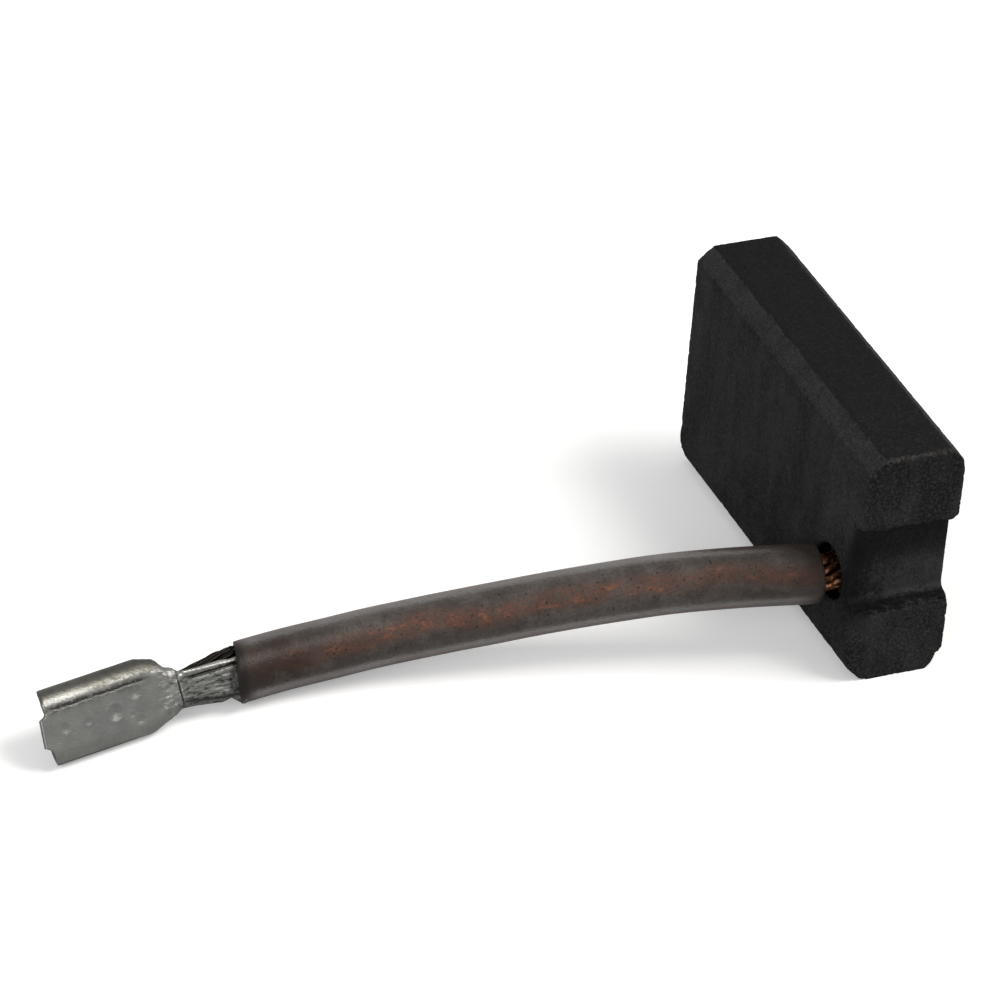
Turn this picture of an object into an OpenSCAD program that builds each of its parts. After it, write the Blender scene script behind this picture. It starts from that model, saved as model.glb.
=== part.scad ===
// Carbon brush: a graphite block with a sleeved copper shunt lead and a crimped
// push-on receptacle for a flat tab. Millimetres, +Z up.
// The block stands on its narrow long face. Its spring end faces -Y, its contact
// end faces +Y, and the lead leaves its -X side. The origin is under its centre.

/* [Block] */
// Thickness, across the two broad faces (X)
block_t = 5; // [4:0.1:8]
// Length, from the spring end to the contact end (Y)
block_l = 20; // [14:0.5:32]
// Width, the height of the block as it stands (Z)
block_w = 12.5; // [10:0.5:20]
// Chamfer along the four long edges
block_chamfer = 0.8; // [0.2:0.1:1.2]

/* [Spring groove] */
// Width of the groove across the spring end
groove_w = 4.4; // [2.5:0.1:5.5]
// Depth of the groove
groove_d = 0.9; // [0.5:0.1:1.5]
// Radius in the two inner corners of the groove
groove_r = 0.4; // [0.1:0.1:0.5]

/* [Shunt pit] */
// Distance of the middle of the pit from the spring end
pit_setback = 3; // [2.6:0.1:6]
// Height of the middle of the pit above the narrow face
pit_height = 4.5; // [3.6:0.1:6]
// Thickness of the tamped copper powder between the shunt wire and the pit's wall
tamping_wall = 0.45; // [0.3:0.05:0.6]
// Full depth of the pit, without its drill point
pit_depth = 3.2; // [2.4:0.1:3.4]
// Angle of the drill point
pit_point = 118; // [90:1:150]
// How far the tamped copper powder stays below the broad face
tamping_recess = 0.7; // [0.3:0.1:1.2]

/* [Lead] */
// Diameter of the stranded copper shunt
wire_d = 1.9; // [1.4:0.1:2]
// Diameter of the shunt at the front of the crimp, where it is squeezed most
crimped_d = 1.3; // [1:0.1:1.4]
// Room between the shunt and the inside of the sleeve, all round
sleeve_play = 0.15; // [0.1:0.05:0.3]
// Wall of the sleeve
sleeve_wall = 0.35; // [0.2:0.05:0.4]

/* [Receptacle] */
// Thickness of the sheet
sheet = 0.25; // [0.2:0.05:0.35]
// Width of the tab that it takes
tab_w = 2.8; // [2.4:0.1:3.2]
// Thickness of the tab that it takes
tab_t = 0.5; // [0.4:0.05:0.8]
// Room beside the tab, on each side
tab_side_room = 0.15; // [0.1:0.05:0.3]
// Room above the tab
tab_play = 0.05; // [0.02:0.01:0.1]
// Length of the rolled box
box_l = 5.4; // [4:0.1:7]
// How far the rolls start behind the front edge of the floor
roll_setback = 0.05; // [0:0.05:0.4]
// How far the front of the rolls slants back towards the tab side, in degrees
roll_slant = 21; // [0:1:30]
// How far the lead-in lip stands out in front of the floor
lip_l = 0.25; // [0.2:0.05:0.6]
// Width of the lead-in lip
lip_w = 1.3; // [0.8:0.1:1.4]
// How far the lip lies off the middle of the floor
lip_shift = 0.1; // [0:0.05:0.15]
// Length of the neck between box and crimp
neck_l = 2.1; // [1.4:0.1:3]
// Length of the crimp barrel, without its waist and bell mouth
barrel_l = 1.9; // [1.6:0.1:3]
// How much wider the barrel is at its back than at its front, on the radius
barrel_spread = 0.25; // [0.1:0.05:0.3]
// Length of the narrowing between the barrel and the bell mouth
waist_l = 0.4; // [0.3:0.05:0.6]
// How much wider the waist is than the front of the barrel, on the radius
waist_rise = 0.07; // [0.06:0.01:0.1]
// Length of the bell mouth behind the waist
mouth_l = 0.6; // [0.5:0.05:0.65]
// How far the bell mouth opens beyond the waist, on the radius
mouth_flare = 0.33; // [0.28:0.01:0.36]
// How far the seam of the crimp stays open, in degrees round the wire
seam_open = 80; // [20:1:120]
// Where the seam lies, in degrees round the wire from the side of the floor
seam_at = 90; // [60:1:180]
// Diameter of the locking dimple for the hole in the tab
dimple_d = 0.7; // [0.4:0.05:1]
// Height of the locking dimple inside the box
dimple_h = 0.12; // [0.05:0.01:0.2]
// How far the receptacle leans back from upright as it lies on its lower roll
lean = 29; // [0:1:40]
// Sideways bend between the box and the barrel
neck_bend = 7.7; // [0:0.1:12]
// Sideways step between the middle of the box and the middle of the barrel
neck_step = 0.2; // [0:0.01:0.3]

/* [Fits] */
// Clearance between pieces that fit into each other
seat_play = 0.03; // [0.02:0.01:0.05]
// Gap between the bell mouth and the end of the sleeve
sleeve_gap = 0.12; // [0.1:0.01:0.3]

/* [Hidden] */
$fn = 72;
cut = 0.01;            // how far a cutting tool passes a face
cord_sides = 8;

// The middle of the lead, from the bottom of the pit to the front of the crimp:
// its way along X and Y from the mouth of the pit, and its height above the floor.
lead = [
    [3.1, 0, pit_height],
    [1.7, 0, pit_height],
    [0.5, 0, pit_height],
    [-0.7, 0, pit_height],
    [-2.1, 0.3, 4.5],
    [-3.9, 0.8, 4.4],
    [-5.9, 1.35, 4.25],
    [-7.9, 1.85, 4.05],
    [-9.9, 2.35, 3.75],
    [-11.9, 2.8, 3.45],
    [-13.9, 3.2, 3.15],
    [-15.9, 3.6, 2.8],
    [-17.9, 3.95, 2.5],
    [-19.9, 4.25, 2.2],
    [-21.9, 4.45, 1.95],
    [-23.9, 4.5, 1.75],
    [-25.9, 4.5, 1.6],
    [-28.1, 4.31, 1.48],
    [-28.9, 4.21, 1.45],
    [-30, 4.1, 1.45],
    [-31.4, 3.98, 1.45]
];
pit_mouth = [-block_t / 2, pit_setback - block_l / 2];
route = [for (p = lead) [pit_mouth[0] + p[0], pit_mouth[1] + p[1], p[2]]];
last = len(route) - 1;
sleeve_first = 3;      // the sleeve covers the route between these two points
sleeve_last = last - 3;

wire_r = wire_d / 2;
pit_r = wire_r + tamping_wall;
sleeve_bore_r = wire_r + sleeve_play;
sleeve_r = sleeve_bore_r + sleeve_wall;
roll_r = sheet + tab_t + tab_play;              // outer radius of a roll
box_w = tab_w + 2 * (tab_side_room + sheet);    // over both rolls
floor_half = box_w / 2 - roll_r;                // flat half of the floor
bore_r = crimped_d / 2 + seat_play;
barrel_r = bore_r + sheet;
overlap = 0.15;        // how far neck and barrel run into their neighbours
back = unit(route[last - 1] - route[last]);
lead_heading = atan2(back[1], back[0]);
waist_r = bore_r + waist_rise;                  // inside of the crimp at its waist
crimp_l = barrel_l + waist_l + mouth_l;
// How far the bare strands stand out in front of the crimp.
tail = norm(route[sleeve_last] - route[last]) - sleeve_gap - crimp_l;
box_heading = lead_heading + neck_bend;

// ---- swept tubes ----

function unit(v) = v / norm(v);

// Direction of the route at point i.
function along(i) = unit(route[min(i + 1, last)] - route[max(i - 1, 0)]);

// A ring of the tube round route point i, across its direction.
function ring(i, r) =
    let (t = along(i), side = unit(cross([0, 0, 1], t)), up = cross(t, side))
    [for (k = [0 : cord_sides - 1])
        let (a = 360 * (k + 0.5) / cord_sides)
        route[i] + r * (cos(a) * side + sin(a) * up)];

function flat_list(rings) = [for (one = rings) each one];

// Four-sided faces between ring a and ring b, which start at those points.
function band(a, b, n) = [for (k = [0 : n - 1])
    [a + k, a + (k + 1) % n, b + (k + 1) % n, b + k]];

module solid_tube(first, final, radii) {
    n = cord_sides;
    count = final - first;
    polyhedron(
        points = flat_list([for (i = [first : final]) ring(i, radii[i - first])]),
        faces = concat(
            [[for (k = [n - 1 : -1 : 0]) k]],
            [for (j = [0 : count - 1]) each band(j * n, (j + 1) * n, n)],
            [[for (k = [0 : n - 1]) count * n + k]]
        )
    );
}

module hollow_tube(first, final, outer, inner) {
    n = cord_sides;
    count = final - first;
    far = (count + 1) * n;     // where the inner rings start in the list
    polyhedron(
        points = concat(
            flat_list([for (i = [first : final]) ring(i, outer)]),
            flat_list([for (i = [first : final]) ring(i, inner)])
        ),
        faces = concat(
            [for (j = [0 : count - 1]) each band(j * n, (j + 1) * n, n)],
            [for (j = [0 : count - 1])
                each band(far + (j + 1) * n, far + j * n, n)],
            band(far, 0, n),
            band(count * n, far + count * n, n)
        )
    );
}

// ---- brush block ----

// Outline of the block across its length, with the long edges chamfered.
module block_outline() {
    x = block_t / 2;
    c = block_chamfer;
    polygon([
        [-x + c, 0], [x - c, 0], [x, c], [x, block_w - c],
        [x - c, block_w], [-x + c, block_w], [-x, block_w - c], [-x, c]
    ]);
}

// Cross-section of the spring groove: depth along +X, width along Y.
module groove_outline() {
    half = groove_w / 2;
    translate([-1, -half]) square([1 + groove_d - groove_r, groove_w]);
    translate([0, -half + groove_r]) square([groove_d, groove_w - 2 * groove_r]);
    for (side = [-1, 1])
        translate([groove_d - groove_r, side * (half - groove_r)])
            circle(groove_r);
}

// Places a shape drawn along +Z on the broad face, pointing into the pit.
module into_pit(depth) {
    translate([pit_mouth[0] + depth, pit_mouth[1], pit_height])
        rotate([0, 90, 0]) children();
}

// The pit with its drill point, from a depth below the broad face.
module pit_shape(start, r) {
    into_pit(start) cylinder(h = pit_depth - start, r = r);
    into_pit(pit_depth) cylinder(h = r / tan(pit_point / 2), r1 = r, r2 = 0);
}

module brush_block() {
    color("#2d2b2b")
    difference() {
        translate([0, block_l / 2, 0]) rotate([90, 0, 0])
            linear_extrude(block_l) block_outline();
        translate([-block_t, -block_l / 2, block_w / 2])
            rotate([90, 0, 90]) linear_extrude(2 * block_t) groove_outline();
        pit_shape(-1, pit_r);
    }
}

// Copper powder tamped round the end of the shunt.
module tamping_plug() {
    color("#6b4a3a")
    difference() {
        pit_shape(tamping_recess, pit_r - seat_play);
        rod_l = lead[0][0] - tamping_recess + cut;
        into_pit(tamping_recess - cut) rotate(180 / cord_sides)
            cylinder(h = rod_l + seat_play, r = wire_r + seat_play, $fn = cord_sides);
    }
}

// ---- lead ----

module shunt_wire() {
    color("#b5683f")
    solid_tube(0, last, [for (i = [0 : last])
        i > sleeve_last ? crimped_d / 2 : wire_r]);
}

module sleeve() {
    color("#5f5450")
    hollow_tube(sleeve_first, sleeve_last, sleeve_r, sleeve_bore_r);
}

// ---- receptacle ----
// Drawn with X back towards the lead, Y across and Z from the floor to the rolls.
// Its zero point is the front of the crimp barrel, on the middle of the wire.

// Puts the receptacle's own axes at the end of the lead, at one heading.
module at_crimp(heading) {
    translate(route[last] + tail * back) rotate([-(90 + lean), 0, heading]) children();
}

// Extrudes an outline in Y and Z along X.
module along_x(from, to) {
    translate([from, 0, 0]) rotate([90, 0, 90]) linear_extrude(to - from) children();
}

// Three quarters of a turn of sheet, from the floor round to above the tab.
module roll_outline(side) {
    translate([side * floor_half, roll_r]) difference() {
        circle(roll_r);
        circle(roll_r - sheet);
        translate([side > 0 ? -roll_r : 0, -roll_r]) square(roll_r);
    }
}

// The floor from above: flat, with the lead-in lip between two hollow corners.
module floor_outline() {
    difference() {
        union() {
            translate([0, -floor_half]) square([box_l, 2 * floor_half]);
            translate([-lip_l, lip_shift - lip_w / 2]) square([lip_l + cut, lip_w]);
        }
        for (side = [-1, 1]) {
            notch = (floor_half - side * lip_shift - lip_w / 2) * 0.6;
            translate([-notch * 0.2, lip_shift + side * (lip_w / 2 + notch)]) circle(notch);
        }
    }
}

// Both rolls, with their front cut on the slant.
module rolls() {
    difference() {
        along_x(0, box_l) for (side = [-1, 1]) roll_outline(side);
        translate([roll_setback, 0, 0]) rotate([0, roll_slant, 0])
            translate([-box_l, -box_w, -box_l]) cube([box_l, 2 * box_w, 3 * box_l]);
    }
}

// Shallow round dents left by the tooling in the outside of the floor:
// distance from the front, place across, diameter.
dents = [[0.8, 0.12, 0.5], [2.05, 0.14, 0.35], [4.7, -0.45, 0.5], [4.65, 0.75, 0.45]];
dent_depth = 0.04;
lock_at = [3.45, 0.16];

// A round dent or dimple: the cap of a sphere of this diameter and height.
module cap(d, h) {
    r = (d * d / 4 + h * h) / (2 * h);
    translate([0, 0, h - r]) sphere(r);
}

module rolled_box() {
    difference() {
        union() {
            linear_extrude(sheet) floor_outline();
            rolls();
            intersection() {
                translate([lock_at[0], lock_at[1], sheet]) cap(dimple_d, dimple_h);
                translate([0, -box_w / 2, sheet / 2]) cube([box_l, box_w, roll_r]);
            }
        }
        translate([lock_at[0], lock_at[1], 0]) cap(dimple_d * 0.8, dimple_h);
        for (d = dents) translate([d[0], d[1], 0]) cap(d[2], dent_depth);
    }
}

// ---- neck: a gutter that narrows from the box to the barrel ----

neck_steps = 8;
wall_points = 9;
skin = 0.02;           // how far its faces lie inside those of the sheet it joins

function mix(a, b, t) = a + (b - a) * t;
function ease(t) = t * t * (3 - 2 * t);

// A point of the gutter's section, at the angle up its wall and at a radius.
function wall_point(flat, outer, r, a) = [flat + r * sin(a), outer - r * cos(a)];

// The section at t, 0 at the box and 1 at the barrel, as a closed outline.
function gutter(t) =
    let (
        flat = mix(floor_half, 0.02, ease(t)),
        outer = mix(roll_r, barrel_r, t),
        turn = mix(150, 104, ease(min(1, 1.6 * t))),
        angles = [for (k = [0 : wall_points - 1]) turn * k / (wall_points - 1)],
        outside = [for (a = angles) wall_point(flat, outer, outer - skin, a)],
        inside = [for (a = angles) wall_point(flat, outer, outer - sheet + skin, a)],
        half = concat(outside, [for (k = [wall_points - 1 : -1 : 0]) inside[k]]),
        n = len(half)
    )
    concat(half, [for (k = [n - 1 : -1 : 0]) [-half[k][0], half[k][1]]]);

module neck() {
    rows = [for (j = [0 : neck_steps]) let (t = j / neck_steps)
        [for (p = gutter(t))
            [mix(-overlap, neck_l + overlap, t), p[0] + neck_step * ease(t), p[1]]]];
    n = len(rows[0]);
    // Each end is closed in quads between the outside and the inside of the sheet.
    w = wall_points;
    strip = concat(
        [for (k = [0 : w - 2]) [k, k + 1, 2 * w - 2 - k, 2 * w - 1 - k]],
        [for (k = [0 : w - 2]) [2 * w + k, 2 * w + k + 1, n - 2 - k, n - 1 - k]],
        [[n - 1, 0, 2 * w - 1, 2 * w]]
    );
    base = neck_steps * n;
    translate([box_l, 0, 0]) polyhedron(
        points = flat_list(rows),
        faces = concat(
            strip,
            [for (j = [0 : neck_steps - 1]) each [for (f = band(j * n, (j + 1) * n, n))
                [f[3], f[2], f[1], f[0]]]],
            [for (f = strip) [for (k = [3 : -1 : 0]) base + f[k]]]
        )
    );
}

// ---- crimp: wings folded over the strands, then a waist and a bell mouth ----

// The inside of the crimp along its length: radius and place.
crimp_line = [
    [bore_r, -overlap],
    [bore_r, 0],
    [bore_r + barrel_spread, barrel_l],
    [waist_r, barrel_l + waist_l],
    [waist_r + mouth_flare, crimp_l]
];

module barrel() {
    wall = [for (k = [len(crimp_line) - 1 : -1 : 0]) crimp_line[k] + [sheet, 0]];
    rotate([0, 90, 0]) rotate([0, 0, seam_at + seam_open / 2])
        rotate_extrude(angle = 360 - seam_open) polygon(concat(crimp_line, wall));
}

module terminal() {
    color("#9a9a98") {
        at_crimp(box_heading) translate([-neck_l - box_l, -neck_step, -barrel_r]) {
            rolled_box();
            neck();
        }
        at_crimp(lead_heading) barrel();
    }
}

brush_block();
tamping_plug();
shunt_wire();
sleeve();
terminal();
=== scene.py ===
import math

import bmesh
import bpy
import numpy as np
from mathutils import Matrix, Vector, noise


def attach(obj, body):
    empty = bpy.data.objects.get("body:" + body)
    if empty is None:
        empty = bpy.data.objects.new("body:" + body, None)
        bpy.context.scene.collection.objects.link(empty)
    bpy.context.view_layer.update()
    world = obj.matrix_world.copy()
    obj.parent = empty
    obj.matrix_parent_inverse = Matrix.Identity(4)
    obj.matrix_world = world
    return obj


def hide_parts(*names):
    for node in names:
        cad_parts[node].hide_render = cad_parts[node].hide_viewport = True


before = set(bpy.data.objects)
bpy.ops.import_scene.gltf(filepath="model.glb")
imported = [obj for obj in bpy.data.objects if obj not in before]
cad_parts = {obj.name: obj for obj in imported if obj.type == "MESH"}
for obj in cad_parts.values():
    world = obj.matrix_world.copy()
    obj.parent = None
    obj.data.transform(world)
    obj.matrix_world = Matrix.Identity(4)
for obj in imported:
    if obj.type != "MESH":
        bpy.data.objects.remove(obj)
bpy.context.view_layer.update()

scene = bpy.context.scene
MM = 0.001

# Sizes of part.scad that the scene repeats, in mm.
HALF_T, HALF_L, WIDTH, CH = 2.5, 10.0, 12.5, 0.8    # the block and its chamfers
GROOVE_HALF = 2.2
PIT_Y, PIT_Z, PIT_R = -7.0, 4.5, 1.4
SLEEVE_START, SLEEVE_END = -3.2, -30.6              # the X of its two ends
SLEEVE_R, SLEEVE_BORE_R = 1.45, 1.10


# ---------------------------------------------------------------- camera

cam_data = bpy.data.cameras.new("camera")
cam_data.sensor_width = 36
cam_data.lens = 216
cam_data.clip_start = 0.01
cam_data.clip_end = 20
cam = bpy.data.objects.new("camera", cam_data)
scene.collection.objects.link(cam)
forward = Vector((0.350943, 0.755101, -0.553770))
right = Vector((0.922863, -0.379089, 0.067937))
up = Vector((0.158629, 0.534896, 0.829893))
place = Vector((-0.116246, -0.214250, 0.163883))
cam.matrix_world = Matrix((
    (right.x, up.x, -forward.x, place.x),
    (right.y, up.y, -forward.y, place.y),
    (right.z, up.z, -forward.z, place.z),
    (0, 0, 0, 1),
))
scene.camera = cam


# ---------------------------------------------------------------- small tools

def smooth(a, b, x):
    """Goes smoothly from 0 where x is a to 1 where x is b."""
    t = np.clip((x - a) / (b - a), 0, 1)
    return t * t * (3 - 2 * t)


def field(points, scale, seed=0.0, octaves=3):
    """Fractal noise at each point, about -1 to 1. Scale is in cells per mm."""
    out = np.empty(len(points))
    shift = Vector((seed, seed * 1.7, -seed * 0.6))
    for i, p in enumerate(points):
        out[i] = noise.fractal(Vector(p) * scale + shift, 1.0, 2.0, octaves,
                               noise_basis="PERLIN_ORIGINAL")
    return out


def make_piece(name, verts_mm, faces, material):
    """A smooth-shaded piece on the part's only body."""
    mesh = bpy.data.meshes.new(name)
    mesh.from_pydata([tuple(v) for v in np.asarray(verts_mm) * MM], [], faces)
    mesh.validate()
    mesh.update()
    mesh.shade_smooth()
    mesh.materials.append(material)
    obj = bpy.data.objects.new(name, mesh)
    scene.collection.objects.link(obj)
    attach(obj, "root")
    return obj


# ---------------------------------------------------------------- the lead's line

# The route of part.scad: the middle of the lead, in metres.
ROUTE = [
    (0.0006, -0.007, 0.0045), (-0.0008, -0.007, 0.0045), (-0.002, -0.007, 0.0045),
    (-0.0032, -0.007, 0.0045), (-0.0046, -0.0067, 0.0045), (-0.0064, -0.0062, 0.0044),
    (-0.0084, -0.00565, 0.00425), (-0.0104, -0.00515, 0.00405), (-0.0124, -0.00465, 0.00375),
    (-0.0144, -0.0042, 0.00345), (-0.0164, -0.0038, 0.00315), (-0.0184, -0.0034, 0.0028),
    (-0.0204, -0.00305, 0.0025), (-0.0224, -0.00275, 0.0022), (-0.0244, -0.00255, 0.00195),
    (-0.0264, -0.0025, 0.00175), (-0.0284, -0.0025, 0.0016), (-0.0306, -0.00269, 0.00148),
    (-0.0314, -0.00279, 0.00145), (-0.0325, -0.0029, 0.00145), (-0.0339, -0.00302, 0.00145),
]
knots = np.array(ROUTE) / MM


def spline(points, step):
    """Points about a step apart on a smooth curve through the given points."""
    seg = np.linalg.norm(np.diff(points, axis=0), axis=1)
    t = np.concatenate([[0], np.cumsum(seg)])
    d = np.gradient(points, t, axis=0)
    out = []
    for i in range(len(points) - 1):
        h = t[i + 1] - t[i]
        n = max(1, int(round(h / step)))
        for k in range(n):
            s = k / n
            a = 2 * s**3 - 3 * s**2 + 1
            b = s**3 - 2 * s**2 + s
            c = -2 * s**3 + 3 * s**2
            e = s**3 - s**2
            out.append(a * points[i] + b * h * d[i] + c * points[i + 1] + e * h * d[i + 1])
    out.append(points[-1])
    return np.array(out)


line = spline(knots, 0.15)
for _ in range(12):     # evens out the small corners of the route
    line[1:-1] = 0.5 * line[1:-1] + 0.25 * (line[:-2] + line[2:])
along = np.gradient(line, axis=0)
along /= np.linalg.norm(along, axis=1)[:, None]
side = np.cross(along, [0.0, 0.0, 1.0])
side /= np.linalg.norm(side, axis=1)[:, None]
upward = np.cross(side, along)
dist = np.concatenate([[0], np.cumsum(np.linalg.norm(np.diff(line, axis=0), axis=1))])


def place_of(x):
    """The distance along the lead at which it passes this X."""
    return float(np.interp(-x, -line[:, 0], dist))


def tube(centre, radius, sides, frame_a, frame_b):
    """Rings of a tube with a radius for each point, and faces between them."""
    n = len(centre)
    ang = np.arange(sides) * 2 * math.pi / sides
    verts = (centre[:, None, :]
             + np.asarray(radius).reshape(n, -1, 1)
             * (np.cos(ang)[None, :, None] * frame_a[:, None, :]
                + np.sin(ang)[None, :, None] * frame_b[:, None, :]))
    faces = []
    for i in range(n - 1):
        for k in range(sides):
            j = (k + 1) % sides
            faces.append((i * sides + k, i * sides + j,
                          (i + 1) * sides + j, (i + 1) * sides + k))
    return verts.reshape(-1, 3), faces


# Where the receptacle lies: the front of its crimp, and its axes at the box and the crimp.
LEAN = math.radians(29)
CRIMP_L = 2.9
LEAD_HEADING = math.atan2(0.12, 1.4)
BOX_HEADING = LEAD_HEADING + math.radians(7.7)
CRIMP_AT = knots[-1] + (math.dist(knots[-4], knots[-1]) - 0.12 - CRIMP_L) * (
    knots[-2] - knots[-1]) / math.dist(knots[-2], knots[-1])


def turned(heading):
    """The receptacle's axes at this heading, as columns."""
    a = Matrix.Rotation(heading, 3, "Z") @ Matrix.Rotation(-(math.pi / 2 + LEAN), 3, "X")
    return np.array(a)


BOX_TURN, CRIMP_TURN = turned(BOX_HEADING), turned(LEAD_HEADING)


# ---------------------------------------------------------------- materials

class Mat:
    """A node material. Positions are the object's own, in millimetres."""

    def __init__(self, name):
        self.m = bpy.data.materials.new(name)
        self.m.use_nodes = True
        self.nodes = self.m.node_tree.nodes
        self.nodes.clear()
        self.out = self.nodes.new("ShaderNodeOutputMaterial")
        coord = self.nodes.new("ShaderNodeTexCoord")
        self.mm = self.vec("SCALE", coord.outputs["Object"], 1000.0)
        split = self.nodes.new("ShaderNodeSeparateXYZ")
        self.link(self.mm, split.inputs[0])
        self.x, self.y, self.z = split.outputs

    @property
    def around(self):
        """The angle round the lead, which the sleeve's mesh carries."""
        n = self.nodes.new("ShaderNodeAttribute")
        n.attribute_name = "around"
        return n.outputs["Fac"]

    def link(self, a, b):
        self.m.node_tree.links.new(a, b)

    def put(self, socket, value):
        """Links a node's output, or sets a number, a vector or an RGB colour."""
        if isinstance(value, bpy.types.NodeSocket):
            self.link(value, socket)
        elif socket.type == "RGBA":
            socket.default_value = (*value, 1.0)
        else:
            socket.default_value = value

    def vec(self, op, a, b):
        n = self.nodes.new("ShaderNodeVectorMath")
        n.operation = op
        self.put(n.inputs[0], a)
        if op == "SCALE":
            n.inputs["Scale"].default_value = b
        else:
            self.put(n.inputs[1], b)
        return n.outputs[0]

    def local(self, turn, origin):
        """Positions in the receptacle's own axes, in millimetres from its crimp."""
        off = self.vec("SUBTRACT", self.mm, tuple(origin))
        out = []
        for k in range(3):
            n = self.nodes.new("ShaderNodeVectorMath")
            n.operation = "DOT_PRODUCT"
            self.link(off, n.inputs[0])
            n.inputs[1].default_value = tuple(turn[:, k])
            out.append(n.outputs["Value"])
        return out

    def math(self, op, a, b=0.0, clamp=False):
        n = self.nodes.new("ShaderNodeMath")
        n.operation = op
        n.use_clamp = clamp
        self.put(n.inputs[0], a)
        self.put(n.inputs[1], b)
        return n.outputs[0]

    def mul(self, a, b, *more):
        """The product of all that is given."""
        out = self.math("MULTIPLY", a, b)
        for c in more:
            out = self.math("MULTIPLY", out, c)
        return out

    def add(self, a, b):
        return self.math("ADD", a, b)

    def sub(self, a, b):
        return self.math("SUBTRACT", a, b)

    def most(self, a, b):
        return self.math("MAXIMUM", a, b)

    def absolute(self, a):
        return self.math("ABSOLUTE", a)

    def step(self, x, a, b, lo=0.0, hi=1.0):
        """Goes smoothly from lo where x is a to hi where x is b."""
        n = self.nodes.new("ShaderNodeMapRange")
        n.interpolation_type = "SMOOTHSTEP"
        self.put(n.inputs["Value"], x)
        n.inputs["From Min"].default_value = a
        n.inputs["From Max"].default_value = b
        n.inputs["To Min"].default_value = lo
        n.inputs["To Max"].default_value = hi
        return n.outputs["Result"]

    def line(self, x, at, half, wander, amount):
        """1 where x equals at, and 0 from a half width away. The noise bends the line."""
        d = self.add(self.sub(x, at), self.mul(self.sub(wander, 0.5), amount))
        return self.step(self.absolute(d), half, half * 0.3)

    def noise(self, scale, detail=3.0, rough=0.55, stretch=None, distort=0.0, shift=0.0):
        n = self.nodes.new("ShaderNodeTexNoise")
        v = self.mm
        if stretch:
            v = self.vec("MULTIPLY", v, stretch)
        if shift:
            v = self.vec("ADD", v, (shift, shift * 1.3, -shift))
        self.link(v, n.inputs["Vector"])
        n.inputs["Scale"].default_value = scale
        n.inputs["Detail"].default_value = detail
        n.inputs["Roughness"].default_value = rough
        n.inputs["Distortion"].default_value = distort
        return n.outputs["Fac"]

    def cells(self, scale, shift=0.0):
        n = self.nodes.new("ShaderNodeTexVoronoi")
        self.link(self.vec("ADD", self.mm, (shift, shift, shift)), n.inputs["Vector"])
        n.inputs["Scale"].default_value = scale
        return n.outputs["Distance"]

    def mix(self, fac, a, b):
        """Colour a, with b laid over it by the factor."""
        n = self.nodes.new("ShaderNodeMix")
        n.data_type = "RGBA"
        self.put(n.inputs["Factor"], fac)
        ins = [s for s in n.inputs if s.type == "RGBA"]
        self.put(ins[0], a)
        self.put(ins[1], b)
        return [s for s in n.outputs if s.type == "RGBA"][0]

    def bump(self, height, distance, strength=1.0):
        n = self.nodes.new("ShaderNodeBump")
        n.inputs["Strength"].default_value = strength
        n.inputs["Distance"].default_value = distance
        self.link(height, n.inputs["Height"])
        return n.outputs["Normal"]

    def shader(self, **values):
        n = self.nodes.new("ShaderNodeBsdfPrincipled")
        for key, value in values.items():
            self.put(n.inputs[key.replace("_", " ")], value)
        return n.outputs[0]

    def done(self, surface):
        self.link(surface, self.out.inputs["Surface"])
        return self.m


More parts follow.
